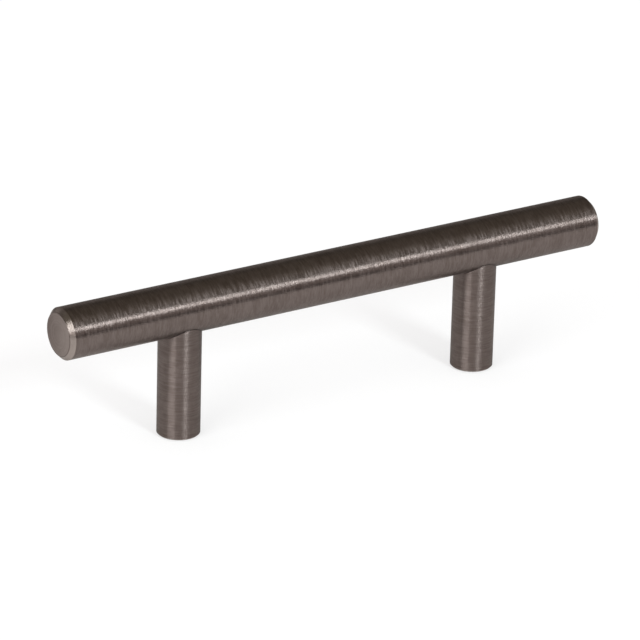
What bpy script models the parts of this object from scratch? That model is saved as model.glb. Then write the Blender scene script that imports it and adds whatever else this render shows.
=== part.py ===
"""T-bar cabinet pull: a chamfered round bar on two coped posts.

Each post is screwed onto a headless set screw that bottoms in a blind hole in the bar. The rest
of the post's tapped bore takes the fixing screw that comes through the door.

Frame: metres, +Z up. The origin lies on the mounting plane, midway between the two posts.
The bar runs along X. The posts stand on the mounting plane, which is the face of the door.
"""

import math

import bmesh
import bpy

# Driving sizes, in metres.
HOLE_SPACING = 0.0762  # centre to centre of the two fixing holes
PROJECTION = 0.0345  # mounting plane to the front of the bar
BAR_LENGTH = 0.136
BAR_DIAMETER = 0.0115
BAR_CHAMFER = 0.001
POST_DIAMETER = 0.0095
FOOT_EDGE_BREAK = 0.0003

# Tapped holes. The set screws and the fixing screws share this thread.
THREAD_DIAMETER = 0.00417
COUNTERSINK = 0.0004
DRILL_POINT_ANGLE = math.radians(118)

# Set screw. It reaches both ways from the underside of the bar.
LENGTH_IN_BAR = 0.0062
LENGTH_IN_POST = 0.0065
SOCKET_DEPTH = 0.0026

# The rest of the set screw, as shares of its thread's diameter.
SOCKET_SHARE = 0.475  # across the flats
CUP_SHARE = 0.5
CUP_DEPTH_SHARE = 0.14
END_CHAMFER_SHARE = 0.12

# Room between solids that touch on the real pull.
SEAT_GAP = 0.0003

# How far a cutter runs past the face that it opens.
CUTTER_OVERRUN = 0.001

# Facets in a full turn.
BAR_SIDES = 128
POST_SIDES = 96
BORE_SIDES = 48
HEXAGON_SIDES = 6

MERGE_DISTANCE = 1e-6
SHARP_ANGLE = math.radians(30)
QUARTER_TURN = math.radians(90)

# Finishes, with colours as linear values.
GUNMETAL_COLOR = (0.165, 0.132, 0.124)
GUNMETAL_ROUGHNESS = 0.34
BLACK_OXIDE_COLOR = (0.045, 0.045, 0.05)
BLACK_OXIDE_ROUGHNESS = 0.45

# Sizes and places that follow from those above.
BAR_RADIUS = BAR_DIAMETER / 2
BAR_AXIS_HEIGHT = PROJECTION - BAR_RADIUS
BAR_UNDERSIDE = BAR_AXIS_HEIGHT - BAR_RADIUS
POST_RADIUS = POST_DIAMETER / 2
BORE_RADIUS = THREAD_DIAMETER / 2
SCREW_RADIUS = BORE_RADIUS - SEAT_GAP
SCREW_END_RADIUS = SCREW_RADIUS - END_CHAMFER_SHARE * THREAD_DIAMETER
SCREW_TIP = BAR_UNDERSIDE + LENGTH_IN_BAR
SCREW_TAIL = BAR_UNDERSIDE - LENGTH_IN_POST
POST_PLACES = {"left": -HOLE_SPACING / 2, "right": HOLE_SPACING / 2}


def clear_scene():
    for old in list(bpy.data.objects):
        bpy.data.objects.remove(old, do_unlink=True)


def make_collection(name):
    collection = bpy.data.collections.new(name)
    bpy.context.scene.collection.children.link(collection)
    return collection


def make_metal(name, color, roughness):
    material = bpy.data.materials.new(name)
    material.use_nodes = True
    shader = material.node_tree.nodes["Principled BSDF"]
    shader.inputs["Base Color"].default_value = (*color, 1.0)
    shader.inputs["Metallic"].default_value = 1.0
    shader.inputs["Roughness"].default_value = roughness
    return material


def add_object(name, mesh, collection):
    obj = bpy.data.objects.new(name, mesh)
    collection.objects.link(obj)
    return obj


def turned(name, profile, sides, collection, closed=False):
    """A section of (radius, height) points turned about Z. Its points run down the outer side."""
    points = [(radius, 0.0, height) for radius, height in profile]
    edges = [(i, i + 1) for i in range(len(points) - 1)]
    if closed:
        edges.append((len(points) - 1, 0))
    mesh = bpy.data.meshes.new(name)
    mesh.from_pydata(points, edges, [])
    obj = add_object(name, mesh, collection)
    turn = obj.modifiers.new("turn", "SCREW")
    turn.axis = "Z"
    turn.steps = turn.render_steps = sides
    turn.use_merge_vertices = True
    turn.merge_threshold = MERGE_DISTANCE
    return obj


def hexagon_prism(name, across_flats, bottom, top, collection):
    corner_radius = across_flats / 2 / math.cos(math.pi / HEXAGON_SIDES)
    build = bmesh.new()
    bmesh.ops.create_cone(
        build,
        cap_ends=True,
        segments=HEXAGON_SIDES,
        radius1=corner_radius,
        radius2=corner_radius,
        depth=top - bottom,
    )
    mesh = bpy.data.meshes.new(name)
    build.to_mesh(mesh)
    build.free()
    prism = add_object(name, mesh, collection)
    prism.location.z = (bottom + top) / 2
    return prism


def cut(obj, cutter):
    cutter.hide_render = True
    cutter.display_type = "WIRE"
    boolean = obj.modifiers.new(f"cut_{cutter.name}", "BOOLEAN")
    boolean.operation = "DIFFERENCE"
    boolean.solver = "EXACT"
    boolean.object = cutter


def finished_mesh(blank, material):
    """The blank's mesh with its modifiers applied, round faces smooth and real edges sharp."""
    bpy.context.view_layer.update()
    graph = bpy.context.evaluated_depsgraph_get()
    mesh = bpy.data.meshes.new_from_object(blank.evaluated_get(graph))
    bpy.data.objects.remove(blank, do_unlink=True)
    mesh.shade_smooth()
    mesh.set_sharp_from_angle(angle=SHARP_ANGLE)
    mesh.materials.clear()
    mesh.materials.append(material)
    return mesh


def bar_profile():
    """Half of the bar's lengthwise section, about its middle."""
    end = BAR_LENGTH / 2
    return [
        (0.0, end),
        (BAR_RADIUS - BAR_CHAMFER, end),
        (BAR_RADIUS, end - BAR_CHAMFER),
        (BAR_RADIUS, BAR_CHAMFER - end),
        (BAR_RADIUS - BAR_CHAMFER, -end),
        (0.0, -end),
    ]


def blind_hole_profile():
    """Hole in the bar, down from its drill point, on which the rim of the set screw's tip beds."""
    height_per_radius = 1 / math.tan(DRILL_POINT_ANGLE / 2)
    top = SCREW_TIP + SEAT_GAP + SCREW_END_RADIUS * height_per_radius
    mouth = BAR_UNDERSIDE - CUTTER_OVERRUN
    return [
        (0.0, top),
        (BORE_RADIUS, top - BORE_RADIUS * height_per_radius),
        (BORE_RADIUS, BAR_UNDERSIDE + COUNTERSINK),
        (BORE_RADIUS + COUNTERSINK + CUTTER_OVERRUN, mouth),
        (0.0, mouth),
    ]


def post_profile():
    """Closed section of the post before it is coped, with its bore tapped right through."""
    return [
        (POST_RADIUS, BAR_AXIS_HEIGHT),
        (POST_RADIUS, FOOT_EDGE_BREAK),
        (POST_RADIUS - FOOT_EDGE_BREAK, 0.0),
        (BORE_RADIUS + COUNTERSINK, 0.0),
        (BORE_RADIUS, COUNTERSINK),
        (BORE_RADIUS, BAR_AXIS_HEIGHT),
    ]


def cope_profile():
    """The bar's own section, widened by the seat gap, and long enough to clear the post."""
    end = POST_RADIUS + CUTTER_OVERRUN
    radius = BAR_RADIUS + SEAT_GAP
    return [(0.0, end), (radius, end), (radius, -end), (0.0, -end)]


def set_screw_profile():
    """Section of the set screw, from its cup point down to its chamfered tail."""
    cup_radius = CUP_SHARE * THREAD_DIAMETER / 2
    cup_depth = CUP_DEPTH_SHARE * THREAD_DIAMETER
    chamfer = END_CHAMFER_SHARE * THREAD_DIAMETER
    return [
        (0.0, SCREW_TIP - cup_depth),
        (cup_radius, SCREW_TIP),
        (SCREW_END_RADIUS, SCREW_TIP),
        (SCREW_RADIUS, SCREW_TIP - chamfer),
        (SCREW_RADIUS, SCREW_TAIL + chamfer),
        (SCREW_END_RADIUS, SCREW_TAIL),
        (0.0, SCREW_TAIL),
    ]


def make_bar(parts, cutters, material):
    """Solid round bar, chamfered at both ends, with a blind tapped hole over each post."""
    blank = turned("bar_blank", bar_profile(), BAR_SIDES, parts)
    blank.rotation_euler.y = QUARTER_TURN
    for side, place in POST_PLACES.items():
        hole = turned(f"blind_hole_{side}", blind_hole_profile(), BORE_SIDES, cutters)
        hole.location = (place, 0.0, -BAR_AXIS_HEIGHT)
        cut(blank, hole)
    bar = add_object("bar", finished_mesh(blank, material), parts)
    bar.rotation_euler.y = QUARTER_TURN
    bar.location.z = BAR_AXIS_HEIGHT


def make_posts(parts, cutters, material):
    """Two posts, coped at the top to seat on the bar."""
    blank = turned("post_blank", post_profile(), POST_SIDES, parts, closed=True)
    cope = turned("cope", cope_profile(), BAR_SIDES, cutters)
    cope.rotation_euler.y = QUARTER_TURN
    cope.location.z = BAR_AXIS_HEIGHT
    cut(blank, cope)
    mesh = finished_mesh(blank, material)
    for side, place in POST_PLACES.items():
        add_object(f"post_{side}", mesh, parts).location.x = place


def make_set_screws(parts, cutters, material):
    """Two headless set screws, each driven by a hexagon socket that faces the foot."""
    blank = turned("set_screw_blank", set_screw_profile(), BORE_SIDES, parts)
    across_flats = SOCKET_SHARE * THREAD_DIAMETER
    socket = hexagon_prism(
        "hexagon_socket", across_flats, SCREW_TAIL - CUTTER_OVERRUN, SCREW_TAIL + SOCKET_DEPTH, cutters
    )
    cut(blank, socket)
    mesh = finished_mesh(blank, material)
    for side, place in POST_PLACES.items():
        add_object(f"set_screw_{side}", mesh, parts).location.x = place


def main():
    clear_scene()
    parts = make_collection("t_bar_cabinet_pull")
    cutters = make_collection("cutters")
    gunmetal = make_metal("brushed_gunmetal", GUNMETAL_COLOR, GUNMETAL_ROUGHNESS)
    black_oxide = make_metal("black_oxide_steel", BLACK_OXIDE_COLOR, BLACK_OXIDE_ROUGHNESS)
    make_bar(parts, cutters, gunmetal)
    make_posts(parts, cutters, gunmetal)
    make_set_screws(parts, cutters, black_oxide)


main()
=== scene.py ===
"""T-bar cabinet pull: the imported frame, dressed with fine surfaces, brushed gunmetal and a small studio.

Lengths are in metres. The bar lies along X, the door's face is the plane z = 0 and +Z points out of it.
"""

import math

import bmesh
import bpy
import numpy as np
from mathutils import Matrix, Vector


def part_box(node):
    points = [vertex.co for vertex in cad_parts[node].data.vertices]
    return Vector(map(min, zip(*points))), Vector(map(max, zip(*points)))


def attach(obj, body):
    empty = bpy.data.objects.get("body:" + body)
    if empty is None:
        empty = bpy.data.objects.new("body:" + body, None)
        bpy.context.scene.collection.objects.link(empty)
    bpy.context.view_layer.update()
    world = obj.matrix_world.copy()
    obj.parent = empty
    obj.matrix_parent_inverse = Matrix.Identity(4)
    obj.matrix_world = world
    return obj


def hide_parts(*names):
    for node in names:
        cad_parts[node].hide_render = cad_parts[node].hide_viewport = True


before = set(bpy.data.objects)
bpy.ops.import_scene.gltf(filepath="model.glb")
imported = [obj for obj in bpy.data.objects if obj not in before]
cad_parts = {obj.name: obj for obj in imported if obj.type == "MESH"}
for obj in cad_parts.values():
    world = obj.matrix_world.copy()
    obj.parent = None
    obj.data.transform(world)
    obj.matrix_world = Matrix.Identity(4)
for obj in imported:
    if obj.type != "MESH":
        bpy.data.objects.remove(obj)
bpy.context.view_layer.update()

# The rods' sizes and places, from the frame.
BAR_LOW, BAR_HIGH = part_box("bar")
BAR_HALF_LENGTH = (BAR_HIGH.x - BAR_LOW.x) / 2
BAR_RADIUS = (BAR_HIGH.y - BAR_LOW.y) / 2
BAR_AXIS_HEIGHT = BAR_HIGH.z - BAR_RADIUS
BAR_UNDERSIDE = BAR_AXIS_HEIGHT - BAR_RADIUS
POST_LOW, POST_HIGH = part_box("post_right")
POST_RADIUS = (POST_HIGH.x - POST_LOW.x) / 2
POST_PLACE = (POST_HIGH.x + POST_LOW.x) / 2
POST_PLACES = {"left": -POST_PLACE, "right": POST_PLACE}
SCREW_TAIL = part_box("set_screw_right")[0].z
SCREW_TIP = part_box("set_screw_right")[1].z

# Turned details of the rods, as in the source of the part, with finer edges and a tighter seat.
BAR_CHAMFER = 0.001
BAR_EDGE_ROUNDING = 0.00012
FOOT_EDGE_BREAK = 0.0003
FOOT_EDGE_ROUNDING = 0.00006
SADDLE_EDGE_BREAK = 0.0001
SEAT_GAP = 0.00003
COUNTERSINK = 0.0004
TOP_COUNTERSINK = 0.00015
DRILL_POINT_SLOPE = math.tan(math.radians(59))
CUTTER_OVERRUN = 0.001

# No. 8-32 thread. A thread's corners lie at these shares of its pitch, with a point between each two.
THREAD_PITCH = 0.0254 / 32
THREAD_RADIUS = 0.00417 / 2
THREAD_DEPTH = 0.00043
CREST_SHARE = 1 / 8
ROOT_SHARE = 1 / 4
THREAD_CLEARANCE = 0.00002
THREAD_ROWS = np.array([0, 1 / 16, 7 / 32, 3 / 8, 1 / 2, 5 / 8, 25 / 32, 15 / 16])

# Set screw.
SCREW_END_RADIUS = 0.001285
CUP_RADIUS = 0.00104
CUP_DEPTH = 0.00058
SOCKET_HALF_FLATS = 0.00198 / 2
SOCKET_DEPTH = 0.0026
SOCKET_EDGE_BREAK = 0.00008
SOCKET_FLOOR_RISE = 0.0004
SOCKET_FLOOR_RADIUS = SOCKET_HALF_FLATS * 0.9

# Columns round each piece. The set screw's are a multiple of six, so that its socket has true corners.
BAR_COLUMNS = 320
POST_COLUMNS = 120
SCREW_COLUMNS = 96

# Rows along the bar, a post's wall and its saddle, and steps round a broken corner.
BAR_ROWS = 36
WALL_ROWS = 8
SADDLE_ROWS = 14
CORNER_STEPS = 6

# Points closer than this are one, and edges sharper than this stay sharp.
WELD_DISTANCE = 2e-8
SHARP_ANGLE = math.radians(40)

# Brushed gunmetal: a dark nickel plate, with colours as linear values.
GUNMETAL_DARK = (0.138, 0.108, 0.100)
GUNMETAL_LIGHT = (0.192, 0.156, 0.148)
# The lightest plate colour is partly wear and partly a painted highlight on the edges and flat ends.
GUNMETAL_WEAR_AND_HIGHLIGHT = (0.34, 0.288, 0.270)
BARE_STEEL = (0.30, 0.29, 0.28)
GLANCING_TINT = (0.75, 0.75, 0.75, 1.0)
TONE_FADE = (0.38, 0.62)

# Its brushing, and the coarser scratches that take up to SCRATCH_SHARE of it.
BRUSH_ROUGHNESS = 0.355
BRUSH_ANISOTROPY = 0.985
BRUSH_DEPTH = 0.00007
LINE_ROUGHNESS_SPREAD = 0.20
SMUDGE_ROUGHNESS_SPREAD = 0.08
BORE_ROUGHNESS_GAIN = 0.15
SCRATCH_ROUGHNESS = 0.475
SCRATCH_ANISOTROPY = 0.70
SCRATCH_FADE = (0.45, 0.65)
SCRATCH_SHARE = 0.42

# How many times a metre each mark changes. Round a rod, fine lines and scratches are a multiple of the
# rod's own stroke rate.
STROKES_ALONG = 2500
LINES_ALONG = 5400
LINES_ROUND = 2.1
SCRATCHES_ALONG = 3600
SCRATCHES_ROUND = 0.8
RINGS_OUTWARDS = 4200
RINGS_ROUND = 160
MOTTLE_ALONG = 420
MOTTLE_ROUND = 210
SMUDGE_RATE = 90

# Where the marks of a flat end, a bore and a worn edge with a painted highlight fade out, in metres past
# each. The rim between a flat end and its edge break keeps its darker plate, as a thin painted dark line
# that fades to both sides.
FACE_FADE = (0.00004, 0.00012)
BORE_FADE = (0.0003, 0.0005)
EDGE_FADE = (0.0, 0.00008)
DARK_RIM_LINE_FADE = (0.00004, 0.00016)

# Share of the plate that is lightened midway between a rod's -Y and +Y sides, partly as wear and partly as
# a painted highlight, and the painted highlight that the -Y side, where the key light falls, has on top.
# On the edges it comes in patches.
EDGE_WEAR_AND_HIGHLIGHT = 0.6
EDGE_HIGHLIGHT_TO_FRONT = 0.65
FACE_WEAR_AND_HIGHLIGHT = 0.26
FACE_HIGHLIGHT_TO_FRONT = 0.34
PATCH_BASE = 0.35
PATCH_SPREAD = 0.9

# Black oxide on the set screws.
BLACK_OXIDE = (0.045, 0.045, 0.05)
BLACK_OXIDE_LIGHT = (0.085, 0.08, 0.08)
BLACK_OXIDE_ROUGHNESS = 0.38
BLOOM_RATE = 900
BLOOM_FADE = (0.35, 0.75)
BLOOM_ROUGHNESS_SPREAD = 0.2
GRAIN_RATE = 9000
GRAIN_ROUGHNESS_SPREAD = 0.1
GRAIN_STRENGTH = 0.6
GRAIN_DEPTH = 0.000008

# Camera, as found from the outline in the photograph, which is 640 pixels wide.
PHOTO_WIDTH = 640
FOCAL_LENGTH_PIXELS = 4989.8
SENSOR_WIDTH = 36.0
CAMERA_PLACE = Vector((-0.55239, -0.83667, 0.43267))
CAMERA_AIM = Vector((-0.00402, -0.00240, 0.02))
CAMERA_ROLL = math.radians(1.56)

# Studio. A softbox is given by its direction, its width and height as angles, and its brightness.
STUDIO_AIM = Vector((0, 0, 0.02))
LAMP_DISTANCE = 2.4
SOFTBOXES = {
    "key_softbox": {
        "azimuth": -86,
        "elevation": 29.6,
        "width": 11,
        "height": 12,
        "brightness": 40,
        "color": (0.90, 1.0, 1.01),
    },
    "fill_softbox": {
        "azimuth": -160.4,
        "elevation": 26,
        "width": 34,
        "height": 25,
        "brightness": 6,
        "color": (0.95, 1.0, 0.99),
    },
}
ROOM_LIGHT = 0.7
WHITE = (1, 1, 1, 1)

# Floor. Reflections show it as a sheet of white paper on a dark table.
FLOOR_HEIGHT = -0.0002
FLOOR_HALF_SIZE = 6.0
FLOOR_SEEN = (0.96, 0.93, 0.93)
FLOOR_GLOW = 1.03
FLOOR_GLOW_SHARE = 0.6
CLEAR_UNDER_FOOT = 0.0039
PAPER_HALF_WIDTH = 0.27
PAPER_HALF_LENGTH = 0.5
PAPER_EDGE_FADE = (-0.015, 0.015)
WHITE_PAPER = (0.93, 0.90, 0.865)
DARK_TABLE = (0.08, 0.073, 0.07)

# Drapes. The front wall fades along X, and its foot and the bands over it by the angle round the bar, in
# degrees up from the front horizon. Each band gives where its colour starts, where it is full, and the
# colour.
DRAPE_RADIUS = 3.0
DRAPE_COLUMNS = 64
DRAPE_ROWS = 24
WALL_LEFT = (1.20, 1.11, 1.05)
WALL_RIGHT = (0.56, 0.515, 0.48)
WALL_FADE = (-1.6, -0.2)
WALL_FOOT_FADE = (3, 9)
DRAPE_BANDS = [
    (28, 36, (0.185, 0.172, 0.135)),
    (52, 66, (0.325, 0.302, 0.24)),
    (74, 81, (0.275, 0.255, 0.205)),
    (118, 130, (0.13, 0.12, 0.095)),
    (138, 154, (0.50, 0.475, 0.445)),
]
UNDER_FLOOR = (0.85, 0.83, 0.81)
UNDER_FLOOR_FADE = (-0.10, -0.02)


def rounded_path(corners, rounding):
    """A path through corners, each rounded by an arc that touches both of its straight runs.

    An arc's centre is one rounding to the side of the corner's first run, and its points turn evenly from
    one run's direction to the next. A point close to each end of a straight run keeps its shading flat.
    """
    corners = np.asarray(corners, float)
    pieces = [corners[:1]]
    for before, corner, after in zip(corners[:-2], corners[1:-1], corners[2:]):
        come = (corner - before) / np.linalg.norm(corner - before)
        leave = (after - corner) / np.linalg.norm(after - corner)
        turn = math.atan2(come[0] * leave[1] - come[1] * leave[0], come @ leave)
        side = np.array([-come[1], come[0]]) * np.sign(turn)
        start = corner - come * rounding * math.tan(abs(turn) / 2)
        angle = np.linspace(0, abs(turn), CORNER_STEPS + 1)[:, None]
        arc = start + rounding * (side * (1 - np.cos(angle)) + come * np.sin(angle))
        pieces += [start[None] - come * rounding, arc, arc[-1:] + leave * rounding]
    return np.concatenate(pieces + [corners[-1:]])


def turned(path, columns):
    """Grid of a turned surface about Z: at angle a, a path point (r, z) lies at (r cos a, r sin a, z)."""
    angle = np.linspace(0, 2 * np.pi, columns + 1)
    radius, height = path[:, :1], path[:, 1:]
    return np.stack(np.broadcast_arrays(radius * np.cos(angle), radius * np.sin(angle), height), axis=-1)


def thread_depth(height, angle):
    """How deep a No. 8 thread's groove is: nothing on the crest, its full depth in the root.

    The crest follows a right-hand helix, on which height / pitch - angle / full turn is a whole number.
    Crests are flat for an eighth of the pitch and roots for a quarter, with straight flanks between.
    """
    turns = height / THREAD_PITCH - angle / (2 * np.pi)
    from_crest = 2 * np.abs((turns + 0.5) % 1 - 0.5)
    return THREAD_DEPTH * np.clip((from_crest - CREST_SHARE) / (1 - CREST_SHARE - ROOT_SHARE), 0, 1)


def threaded(bottom, top, radius_at, columns):
    """Grid of a threaded surface whose rows follow the helix, cut off at the heights bottom and top.

    Row s holds the points at height (s + angle / full turn) * pitch, so each crest and root is one row.
    Rows past an end are pressed onto it, and their doubles go when the grids are welded.
    """
    angle = np.linspace(0, 2 * np.pi, columns + 1)
    first = math.floor(np.min(bottom) / THREAD_PITCH) - 1
    last = math.ceil(np.max(top) / THREAD_PITCH) + 1
    steps = (np.arange(first, last)[:, None] + THREAD_ROWS).reshape(-1, 1)
    height = np.clip((steps + angle / (2 * np.pi)) * THREAD_PITCH, bottom, top)
    radius = radius_at(height, angle)
    return np.stack([radius * np.cos(angle), radius * np.sin(angle), height], axis=-1)


def weld(mesh):
    """Merge the mesh's doubles, turn its faces outwards and make all but its real edges smooth."""
    work = bmesh.new()
    work.from_mesh(mesh)
    bmesh.ops.remove_doubles(work, verts=work.verts, dist=WELD_DISTANCE)
    bmesh.ops.recalc_face_normals(work, faces=work.faces)
    work.to_mesh(mesh)
    work.free()
    mesh.shade_smooth()
    mesh.set_sharp_from_angle(angle=SHARP_ANGLE)


def welded(name, grids):
    """One closed mesh from grids of points whose edges meet."""
    points, quads, first = [], [], 0
    for grid in grids:
        rows, columns = grid.shape[:2]
        index = first + np.arange(rows * columns).reshape(rows, columns)
        corners = [index[:-1, :-1], index[1:, :-1], index[1:, 1:], index[:-1, 1:]]
        quads.append(np.stack(corners, axis=-1).reshape(-1, 4))
        points.append(grid.reshape(-1, 3))
        first += rows * columns
    mesh = bpy.data.meshes.new(name)
    mesh.from_pydata(np.concatenate(points).tolist(), [], np.concatenate(quads).tolist())
    weld(mesh)
    return mesh


def piece(name, mesh, material):
    """A finished piece: it rides on the root body and stands for the CAD node of its name."""
    obj = bpy.data.objects.new(f"fine_{name}", mesh)
    bpy.context.scene.collection.objects.link(obj)
    mesh.materials.clear()
    mesh.materials.append(material)
    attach(obj, "root")
    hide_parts(name)


def bar_blank():
    """Grid of the bar: its section turned about Z, then laid along X at the height of its axis."""
    end = BAR_HALF_LENGTH
    chamfers = rounded_path(
        [
            (0, -end),
            (BAR_RADIUS - BAR_CHAMFER, -end),
            (BAR_RADIUS, BAR_CHAMFER - end),
            (BAR_RADIUS, 0),
        ],
        BAR_EDGE_ROUNDING,
    )[:-1]
    sides = np.linspace(chamfers[-1, 1], -chamfers[-1, 1], BAR_ROWS)[1:-1]
    run = np.column_stack([np.full_like(sides, BAR_RADIUS), sides])
    path = np.concatenate([chamfers, run, chamfers[::-1] * (1, -1)])
    grid = turned(path, BAR_COLUMNS)
    return np.stack([grid[..., 2], grid[..., 1], BAR_AXIS_HEIGHT - grid[..., 0]], axis=-1)


def blind_hole(place):
    """Grids of the cutter for a blind hole: a tapped bore under a drill point, with a countersunk mouth.

    The screw's tip beds on the drill point, whose radius is (top - height) * tan 59 degrees. The mouth's
    radius grows by what the height falls.
    """
    top = SCREW_TIP + THREAD_CLEARANCE + SCREW_END_RADIUS / DRILL_POINT_SLOPE
    mouth = BAR_UNDERSIDE - CUTTER_OVERRUN

    def radius_at(height, angle):
        bore = THREAD_RADIUS - thread_depth(height, angle)
        drill_point = (top - height) * DRILL_POINT_SLOPE
        countersink = THREAD_RADIUS + COUNTERSINK + BAR_UNDERSIDE - height
        return np.maximum(np.minimum(bore, drill_point), countersink)

    tapped = threaded(mouth, top, radius_at, SCREW_COLUMNS)
    mouth_radius = THREAD_RADIUS + COUNTERSINK + CUTTER_OVERRUN
    cap = turned(np.array([(0, mouth), (mouth_radius, mouth)]), SCREW_COLUMNS)
    return [grid + (place, 0, 0) for grid in (tapped, cap)]


def drilled(mesh, cutters):
    """The mesh with the cutters' space taken out of it."""
    blank = bpy.data.objects.new("blank", mesh)
    bpy.context.scene.collection.objects.link(blank)
    tools = []
    for i, cutter in enumerate(cutters):
        tool = bpy.data.objects.new(f"drill_{i}", cutter)
        bpy.context.scene.collection.objects.link(tool)
        cut = blank.modifiers.new(tool.name, "BOOLEAN")
        cut.operation = "DIFFERENCE"
        cut.solver = "EXACT"
        cut.object = tool
        tools.append(tool)
    bpy.context.view_layer.update()
    graph = bpy.context.evaluated_depsgraph_get()
    result = bpy.data.meshes.new_from_object(blank.evaluated_get(graph))
    for done in [blank, *tools]:
        bpy.data.objects.remove(done, do_unlink=True)
    weld(result)
    return result


def saddle_height(radius, angle):
    """Height of the saddle on which the bar lies.

    At radius r and angle a it is the bar's axis height - sqrt((bar radius + gap)^2 - (r sin a)^2).
    """
    reach = BAR_RADIUS + SEAT_GAP
    return BAR_AXIS_HEIGHT - np.sqrt(reach**2 - (radius * np.sin(angle)) ** 2)


def post_grids(place):
    """Grids of a post: the saddle, its broken edge, the wall and foot, and the tapped bore.

    The edge is a curve (1-t)^2 A + 2t(1-t) C + t^2 B, from the saddle at A by the sharp corner C to the
    wall at B. The wall is straight rows from there down to the foot. The bore is countersunk at 45 degrees
    at both ends.
    """
    angle = np.linspace(0, 2 * np.pi, POST_COLUMNS + 1)
    mouth = THREAD_RADIUS + TOP_COUNTERSINK
    edge = POST_RADIUS - SADDLE_EDGE_BREAK

    across = np.linspace(mouth, edge, SADDLE_ROWS)[:, None]
    saddle = np.stack(np.broadcast_arrays(across, saddle_height(across, angle)), axis=-1)

    t = np.linspace(0, 1, CORNER_STEPS + 1)[1:, None, None]
    corner_height = saddle_height(POST_RADIUS, angle)
    corner = np.stack([np.full_like(angle, POST_RADIUS), corner_height], axis=-1)
    wall_top = corner - (0, SADDLE_EDGE_BREAK)
    rim = (1 - t) ** 2 * saddle[-1] + 2 * t * (1 - t) * corner + t**2 * wall_top

    foot_path = rounded_path(
        [
            (POST_RADIUS, BAR_UNDERSIDE),
            (POST_RADIUS, FOOT_EDGE_BREAK),
            (POST_RADIUS - FOOT_EDGE_BREAK, 0),
            (THREAD_RADIUS + COUNTERSINK, 0),
        ],
        FOOT_EDGE_ROUNDING,
    )[1:]
    foot = np.repeat(foot_path[:, None], POST_COLUMNS + 1, axis=1)
    wall_start = wall_top - (0, SADDLE_EDGE_BREAK)
    share = np.linspace(0, 1, WALL_ROWS)[:-1, None, None]
    wall = wall_start * (1 - share) + foot[0] * share

    section = np.concatenate([saddle, rim, wall, foot])
    radius, height = section[..., 0], section[..., 1]
    outside = np.stack([radius * np.cos(angle), radius * np.sin(angle), height], axis=-1)

    top = saddle_height(mouth, angle)

    def radius_at(height, angle):
        bore = THREAD_RADIUS - thread_depth(height, angle)
        return np.maximum.reduce([bore, THREAD_RADIUS + COUNTERSINK - height, mouth - (top - height)])

    bore = threaded(0.0, top, radius_at, POST_COLUMNS)
    return [grid + (place, 0, 0) for grid in (outside, bore)]


def set_screw_grids(place):
    """Grids of a set screw: cup point, thread between two 45 degree chamfers, and hexagon socket.

    The cup is a cone. The socket's radius is half its flats / cos(b), where b runs from -30 to 30 degrees
    across each flat, and its floor rises to a point, as a drill leaves it.
    """
    angle = np.linspace(0, 2 * np.pi, SCREW_COLUMNS + 1)
    cup = turned(
        np.array([(0, SCREW_TIP - CUP_DEPTH), (CUP_RADIUS, SCREW_TIP), (SCREW_END_RADIUS, SCREW_TIP)]),
        SCREW_COLUMNS,
    )

    def radius_at(height, angle):
        thread = THREAD_RADIUS - THREAD_CLEARANCE - thread_depth(height, angle)
        tip_chamfer = SCREW_END_RADIUS + SCREW_TIP - height
        tail_chamfer = SCREW_END_RADIUS + height - SCREW_TAIL
        return np.minimum.reduce([thread, tip_chamfer, tail_chamfer])

    thread = threaded(SCREW_TAIL, SCREW_TIP, radius_at, SCREW_COLUMNS)

    hexagon = SOCKET_HALF_FLATS / np.cos((angle + np.pi / 6) % (np.pi / 3) - np.pi / 6)
    ceiling = SCREW_TAIL + SOCKET_DEPTH
    rows = [
        (np.full_like(angle, SCREW_END_RADIUS), SCREW_TAIL),
        (hexagon + SOCKET_EDGE_BREAK, SCREW_TAIL),
        (hexagon, SCREW_TAIL + SOCKET_EDGE_BREAK),
        (hexagon, ceiling),
        (np.full_like(angle, SOCKET_FLOOR_RADIUS), ceiling),
        (np.zeros_like(angle), ceiling + SOCKET_FLOOR_RISE),
    ]
    radius = np.stack([row[0] for row in rows])
    height = np.broadcast_to(np.array([row[1] for row in rows])[:, None], radius.shape)
    socket = np.stack([radius * np.cos(angle), radius * np.sin(angle), height], axis=-1)
    return [grid + (place, 0, 0) for grid in (cup, thread, socket)]


class Wire:
    """An output of a node, which adds, subtracts, multiplies and divides as a number does."""

    def __init__(self, board, socket):
        self.board = board
        self.socket = socket

    def math(self, operation, *others):
        return self.board.math(operation, self, *others)

    def __add__(self, other):
        return self.board.math("ADD", self, other)

    def __sub__(self, other):
        return self.board.math("SUBTRACT", self, other)

    def __rsub__(self, other):
        return self.board.math("SUBTRACT", other, self)

    def __mul__(self, other):
        return self.board.math("MULTIPLY", self, other)

    def __truediv__(self, other):
        return self.board.math("DIVIDE", self, other)

    def __rtruediv__(self, other):
        return self.board.math("DIVIDE", other, self)

    __radd__ = __add__
    __rmul__ = __mul__

    def size(self):
        return self.math("ABSOLUTE")

    def step(self, low, high):
        """A smooth step from 0 at low to 1 at high."""
        levels = {"Value": self, "From Min": low, "From Max": high}
        return self.board.node("MapRange", {"interpolation_type": "SMOOTHSTEP"}, levels)


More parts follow.
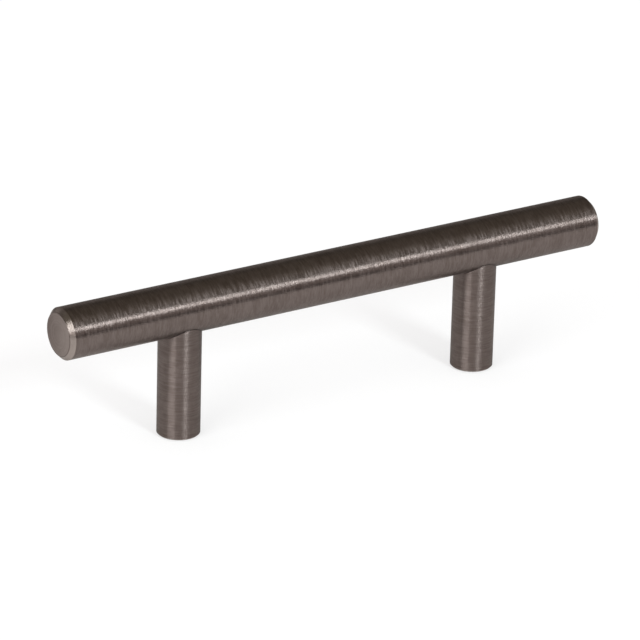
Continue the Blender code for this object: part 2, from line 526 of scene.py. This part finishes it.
class Board:
    """The nodes of one material or of the world."""

    def __init__(self, owner):
        owner.use_nodes = True
        self.tree = owner.node_tree
        self.tree.nodes.clear()

    def node(self, kind, settings, inputs, output=0):
        """Any node: its settings are set first, and then its inputs take their values and links."""
        made = self.tree.nodes.new(f"ShaderNode{kind}")
        for name, value in settings.items():
            setattr(made, name, value)
        for name, value in inputs.items():
            if isinstance(value, Wire):
                self.tree.links.new(value.socket, made.inputs[name])
            else:
                made.inputs[name].default_value = value
        return Wire(self, made.outputs[output]) if made.outputs else None

    def math(self, operation, *values):
        return self.node("Math", {"operation": operation}, dict(enumerate(values)))

    def vector_math(self, operation, *values, output="Vector"):
        return self.node("VectorMath", {"operation": operation}, dict(enumerate(values)), output)

    def place(self, turn=(0, 0, 0), shift=(0, 0, 0)):
        """Object coordinates, turned about the origin and then shifted."""
        own = self.node("TexCoord", {}, {}, "Object")
        return self.node("Mapping", {}, {"Vector": own, "Rotation": turn, "Location": shift})

    def parts(self, vector):
        first = self.node("SeparateXYZ", {}, {"Vector": vector})
        return [Wire(self, socket) for socket in first.socket.node.outputs]

    def joined(self, x, y, z):
        return self.node("CombineXYZ", {}, {0: x, 1: y, 2: z})

    def length(self, vector):
        return self.vector_math("LENGTH", vector, output="Value")

    def leaned(self, normal, lean):
        """Unit vector along normal + lean x normal, where lean is a rod's axis times a slope.

        A normal that stands straight out of the rod leans by that slope, the way round it.
        """
        way_round = self.vector_math("CROSS_PRODUCT", lean, normal)
        return self.vector_math("NORMALIZE", self.vector_math("ADD", normal, way_round))

    def noise(self, vector, rate, detail, roughness):
        levels = {"Vector": vector, "Scale": rate, "Detail": detail, "Roughness": roughness}
        return self.node("TexNoise", {}, levels)

    def streaks(self, rod, across, along, detail, roughness):
        """Noise that changes along times a metre along the rod, and across times a metre across it."""
        stretched = self.node("Mapping", {}, {"Vector": rod, "Scale": (across, across, along)})
        return self.noise(stretched, 1.0, detail, roughness)

    def blend(self, share, first, second):
        """A colour that goes from first to second as share goes from 0 to 1."""
        colors = [c if isinstance(c, Wire) else (*c, 1.0) for c in (first, second)]
        return self.node("Mix", {"data_type": "RGBA"}, {0: share, 6: colors[0], 7: colors[1]}, 2)


def brushed_gunmetal(
    name, turn, shift, rod_radius, edge_break, stroke_rate, end_face, anisotropy_turn, lean
):
    """Dark nickel plate over brushing that runs round a rod, with coarser scratches in part of it.

    Turned and shifted, the rod's axis is Z. The brush lines are noise that changes fast along the rod and
    slowly round it. end_face gives how far a point is from the nearest flat end, where the tool's marks
    are rings, that is noise on the distance from the axis. The plate is lightened on the flat ends and, in
    patches, on the edge breaks. This is partly wear and partly a painted highlight, which is strongest on
    the -Y side, where the key light falls. Along the rim between them the plate keeps its darker colour,
    as a painted dark line. Near the axis and off the flat ends lies the wall of a bore, which is bare
    steel.

    The finest lines are the shader's anisotropy, and anisotropy_turn is the share of a full turn that lays
    its wide side along the rod. In the scratches the surface leans round the rod by lean, which is the
    rod's axis times a slope.
    """
    material = bpy.data.materials.new(name)
    board = Board(material)
    rod = board.place(turn, shift)
    x, y, z = board.parts(rod)
    radius = board.length(board.joined(x, y, 0.0))
    from_end = end_face(z)
    face = 1 - from_end.step(*FACE_FADE)
    side = 1 - face
    bore = (1 - radius.step(THREAD_RADIUS + BORE_FADE[0], THREAD_RADIUS + BORE_FADE[1])) * side
    from_edge = rod_radius - radius + from_end
    edge = 1 - from_edge.step(edge_break + EDGE_FADE[0], edge_break + EDGE_FADE[1])
    # Painted dark line: the rim between a flat end and its edge break keeps the darker plate, unlike its
    # lightened neighbours.
    off_dark_rim_line = (radius - (rod_radius - edge_break)).size().step(*DARK_RIM_LINE_FADE)

    strokes = board.streaks(rod, stroke_rate, STROKES_ALONG, detail=2.0, roughness=0.6)
    lines = board.streaks(rod, stroke_rate * LINES_ROUND, LINES_ALONG, detail=2.0, roughness=0.6)
    scratch_rate = stroke_rate * SCRATCHES_ROUND
    scratches = board.streaks(rod, scratch_rate, SCRATCHES_ALONG, detail=0.0, roughness=0.6)
    rings_at = board.joined(radius * RINGS_OUTWARDS, x * RINGS_ROUND, y * RINGS_ROUND)
    rings = board.noise(rings_at, 1.0, detail=3.0, roughness=0.6)
    smudges = board.noise(rod, SMUDGE_RATE, detail=3.0, roughness=0.55)
    mottle = board.streaks(rod, MOTTLE_ROUND, MOTTLE_ALONG, detail=2.0, roughness=0.5)

    marks = (strokes * 0.6 + lines * 0.4) * side + rings * face
    tone = marks * 0.7 + mottle * 0.2 + smudges * 0.1
    patches = PATCH_BASE + mottle * PATCH_SPREAD
    # Painted highlight: the edges and flat ends are lightened, partly as wear, and most on the -Y side,
    # where the key light falls.
    to_lit_front = y / -rod_radius
    edge_wear_and_highlight = edge * off_dark_rim_line * patches * (EDGE_WEAR_AND_HIGHLIGHT + to_lit_front * EDGE_HIGHLIGHT_TO_FRONT)
    face_wear_and_highlight = face * off_dark_rim_line * (FACE_WEAR_AND_HIGHLIGHT + to_lit_front * FACE_HIGHLIGHT_TO_FRONT)
    plate = board.blend(tone.step(*TONE_FADE), GUNMETAL_DARK, GUNMETAL_LIGHT)
    plate = board.blend(edge_wear_and_highlight, plate, GUNMETAL_WEAR_AND_HIGHLIGHT)
    plate = board.blend(face_wear_and_highlight, plate, GUNMETAL_WEAR_AND_HIGHLIGHT)

    roughness = BRUSH_ROUGHNESS + (lines - 0.5) * LINE_ROUGHNESS_SPREAD
    roughness = roughness + (smudges - 0.5) * SMUDGE_ROUGHNESS_SPREAD
    roughness = roughness + bore * BORE_ROUGHNESS_GAIN
    relief = lines * side + rings * face
    normal = board.node("Bump", {}, {"Strength": 1.0, "Distance": BRUSH_DEPTH, "Height": relief})

    metal = {
        "Base Color": board.blend(bore, plate, BARE_STEEL),
        "Metallic": 1.0,
        "Specular Tint": GLANCING_TINT,
        "Anisotropic Rotation": anisotropy_turn,
    }
    brushed = {
        "Roughness": roughness,
        "Anisotropic": BRUSH_ANISOTROPY,
        "Normal": normal,
    }
    scratched = {
        "Roughness": SCRATCH_ROUGHNESS,
        "Anisotropic": SCRATCH_ANISOTROPY,
        "Normal": board.leaned(normal, lean),
    }
    shine = [board.node("BsdfPrincipled", {}, metal | finish) for finish in (brushed, scratched)]
    share = scratches.step(*SCRATCH_FADE) * SCRATCH_SHARE
    surface = board.node("MixShader", {}, {0: share, 1: shine[0], 2: shine[1]})
    board.node("OutputMaterial", {}, {"Surface": surface})
    return material


def black_oxide_steel(shift):
    """Oiled black oxide on a set screw: dark, a little lighter and rougher where the oil is thin."""
    material = bpy.data.materials.new("black_oxide_steel")
    board = Board(material)
    screw = board.place(shift=shift)
    bloom = board.noise(screw, BLOOM_RATE, detail=3.0, roughness=0.6)
    grain = board.noise(screw, GRAIN_RATE, detail=2.0, roughness=0.5)
    thin_oil = (bloom * 0.7 + grain * 0.3).step(*BLOOM_FADE)
    roughness = BLACK_OXIDE_ROUGHNESS + (bloom - 0.5) * BLOOM_ROUGHNESS_SPREAD
    roughness = roughness + (grain - 0.5) * GRAIN_ROUGHNESS_SPREAD
    relief = {"Strength": GRAIN_STRENGTH, "Distance": GRAIN_DEPTH, "Height": grain}
    finish = {
        "Base Color": board.blend(thin_oil, BLACK_OXIDE, BLACK_OXIDE_LIGHT),
        "Metallic": 1.0,
        "Roughness": roughness,
        "Normal": board.node("Bump", {}, relief),
    }
    board.node("OutputMaterial", {}, {"Surface": board.node("BsdfPrincipled", {}, finish)})
    return material


def lay_tangents_along_x(mesh):
    """Give the bar a texture space that lays the shader's tangents along X.

    Tangents run round the middle of the texture space. This one is so long in X, and its middle so far off
    in Y, that on the bar they all run the same way.
    """
    mesh.use_auto_texspace = False
    mesh.texspace_location = (0, -1, 0)
    mesh.texspace_size = (1000, 0.1, 0.1)


def make_pull():
    """The bar, and on each side its post and set screw."""
    quarter = math.pi / 2
    bar_metal = brushed_gunmetal(
        "brushed_gunmetal_bar",
        turn=(0, -quarter, 0),
        shift=(BAR_AXIS_HEIGHT, 0, 0),
        rod_radius=BAR_RADIUS,
        edge_break=BAR_CHAMFER,
        stroke_rate=420,
        end_face=lambda z: BAR_HALF_LENGTH - z.size(),
        anisotropy_turn=0.0,
        lean=(0.17, 0.0, 0.0),
    )
    holes = [welded(f"hole_{side}", blind_hole(place)) for side, place in POST_PLACES.items()]
    bar = drilled(welded("bar_blank", [bar_blank()]), holes)
    bar.name = "fine_bar"
    lay_tangents_along_x(bar)
    piece("bar", bar, bar_metal)
    for side, place in POST_PLACES.items():
        shift = (-place, 0, 0)
        post_metal = brushed_gunmetal(
            f"brushed_gunmetal_post_{side}",
            turn=(0, 0, 0),
            shift=shift,
            rod_radius=POST_RADIUS,
            edge_break=FOOT_EDGE_BREAK,
            stroke_rate=230,
            end_face=lambda z: z,
            anisotropy_turn=0.25,
            lean=(0.0, 0.0, -0.06),
        )
        post = welded(f"fine_post_{side}", post_grids(place))
        piece(f"post_{side}", post, post_metal)
        screw = welded(f"fine_set_screw_{side}", set_screw_grids(place))
        piece(f"set_screw_{side}", screw, black_oxide_steel(shift))


def make_floor():
    """A pale floor that the camera sees white, under a soft shadow, and sees through from below.

    Reflections show it as a sheet of white paper on a dark table. It is clear under the feet, so that it
    doesn't darken the bores.
    """
    half = FLOOR_HALF_SIZE
    mesh = bpy.data.meshes.new("floor")
    corners = [(-half, -half), (half, -half), (half, half), (-half, half)]
    mesh.from_pydata([(x, y, FLOOR_HEIGHT) for x, y in corners], [], [(0, 1, 2, 3)])
    floor = bpy.data.objects.new("floor", mesh)
    bpy.context.scene.collection.objects.link(floor)
    material = bpy.data.materials.new("pale_floor")
    mesh.materials.append(material)
    board = Board(material)
    x, y, _ = board.parts(board.place())
    paper_edge = (x.size() - PAPER_HALF_LENGTH).math("MAXIMUM", y.size() - PAPER_HALF_WIDTH)
    reflected = board.blend(paper_edge.step(*PAPER_EDGE_FADE), WHITE_PAPER, DARK_TABLE)
    seen = board.node("LightPath", {}, {}, "Is Camera Ray")
    color = board.blend(seen, reflected, FLOOR_SEEN)
    diffuse = board.node("BsdfDiffuse", {}, {"Color": color})
    glow = board.node("Emission", {}, {"Color": WHITE, "Strength": FLOOR_GLOW})
    paint = board.node("MixShader", {}, {0: seen * FLOOR_GLOW_SHARE, 1: diffuse, 2: glow})
    clear = board.node("BsdfTransparent", {}, {})
    below = board.node("NewGeometry", {}, {}, "Backfacing")
    left, right = [board.length(board.joined(x - place, y, 0.0)) for place in POST_PLACES.values()]
    under_foot = left.math("MINIMUM", right).math("LESS_THAN", CLEAR_UNDER_FOOT)
    surface = board.node("MixShader", {}, {0: below.math("MAXIMUM", under_foot), 1: paint, 2: clear})
    board.node("OutputMaterial", {}, {"Surface": surface})


def make_drapes():
    """Drapes all round the studio, a sphere that only reflections show.

    Their colour goes by the angle round the bar: a wall in front, bright on the left and dark at its foot,
    a dim ceiling in three steps, dark cloth behind it and a grey wall at the back. Under the floor they
    are pale.
    """
    slope = np.linspace(-np.pi / 2, np.pi / 2, DRAPE_ROWS + 1)
    path = np.column_stack([np.cos(slope), np.sin(slope)]) * DRAPE_RADIUS
    mesh = welded("drapes", [turned(path, DRAPE_COLUMNS)])
    drapes = bpy.data.objects.new("drapes", mesh)
    bpy.context.scene.collection.objects.link(drapes)
    drapes.visible_camera = False
    drapes.visible_diffuse = False
    drapes.visible_shadow = False
    material = bpy.data.materials.new("dark_drapes")
    mesh.materials.append(material)
    board = Board(material)
    x, y, z = board.parts(board.place())
    angle = z.math("ARCTAN2", y * -1) * math.degrees(1)
    color = board.blend(x.step(*WALL_FADE), WALL_LEFT, WALL_RIGHT)
    for start, full, band in DRAPE_BANDS:
        color = board.blend(angle.step(start, full), color, band)
    color = board.blend(angle.step(*WALL_FOOT_FADE), DARK_TABLE, color)
    color = board.blend(z.step(*UNDER_FLOOR_FADE), UNDER_FLOOR, color)
    glow = board.node("Emission", {}, {"Color": color, "Strength": 1.0})
    board.node("OutputMaterial", {}, {"Surface": glow})


def direction(azimuth, elevation):
    """Unit vector at an azimuth, from +X towards +Y, and an elevation above the floor, in degrees."""
    a, e = math.radians(azimuth), math.radians(elevation)
    return Vector((math.cos(e) * math.cos(a), math.cos(e) * math.sin(a), math.sin(e)))


def make_softboxes():
    """Rectangular lamps aimed at the pull. A lamp's power is brightness * pi * its area."""
    for name, box in SOFTBOXES.items():
        lamp = bpy.data.lights.new(name, "AREA")
        lamp.shape = "RECTANGLE"
        lamp.size = 2 * LAMP_DISTANCE * math.tan(math.radians(box["width"] / 2))
        lamp.size_y = 2 * LAMP_DISTANCE * math.tan(math.radians(box["height"] / 2))
        lamp.energy = box["brightness"] * math.pi * lamp.size * lamp.size_y
        lamp.color = box["color"]
        obj = bpy.data.objects.new(name, lamp)
        bpy.context.scene.collection.objects.link(obj)
        out = direction(box["azimuth"], box["elevation"])
        obj.location = STUDIO_AIM + out * LAMP_DISTANCE
        obj.rotation_euler = (-out).to_track_quat("-Z", "Y").to_euler()
        obj.visible_camera = False


def make_world():
    """A white room, at full strength where it is seen and at ROOM_LIGHT where it lights the floor."""
    world = bpy.data.worlds.new("white_room")
    bpy.context.scene.world = world
    board = Board(world)
    kinds = ("Camera", "Glossy", "Transmission")
    rays = [board.node("LightPath", {}, {}, f"Is {kind} Ray") for kind in kinds]
    strength = (rays[0] + rays[1] + rays[2]) * (1 - ROOM_LIGHT) + ROOM_LIGHT
    light = board.node("Background", {}, {"Color": WHITE, "Strength": strength})
    board.node("OutputWorld", {}, {"Surface": light})


def make_camera():
    """The photograph's camera. Its roll turns the upright picture's up direction towards the left."""
    data = bpy.data.cameras.new("camera")
    data.sensor_width = SENSOR_WIDTH
    data.lens = FOCAL_LENGTH_PIXELS * SENSOR_WIDTH / PHOTO_WIDTH
    data.clip_start = 0.01
    data.clip_end = 20
    camera = bpy.data.objects.new("camera", data)
    bpy.context.scene.collection.objects.link(camera)
    ahead = (CAMERA_AIM - CAMERA_PLACE).normalized()
    level = ahead.cross(Vector((0, 0, 1))).normalized()
    upright = level.cross(ahead)
    right = level * math.cos(CAMERA_ROLL) + upright * math.sin(CAMERA_ROLL)
    up = right.cross(ahead)
    turn = Matrix((right, up, -ahead)).transposed()
    camera.matrix_world = Matrix.Translation(CAMERA_PLACE) @ turn.to_4x4()
    bpy.context.scene.camera = camera


bpy.context.scene.view_settings.view_transform = "Standard"
make_pull()
make_floor()
make_drapes()
make_softboxes()
make_world()
make_camera()
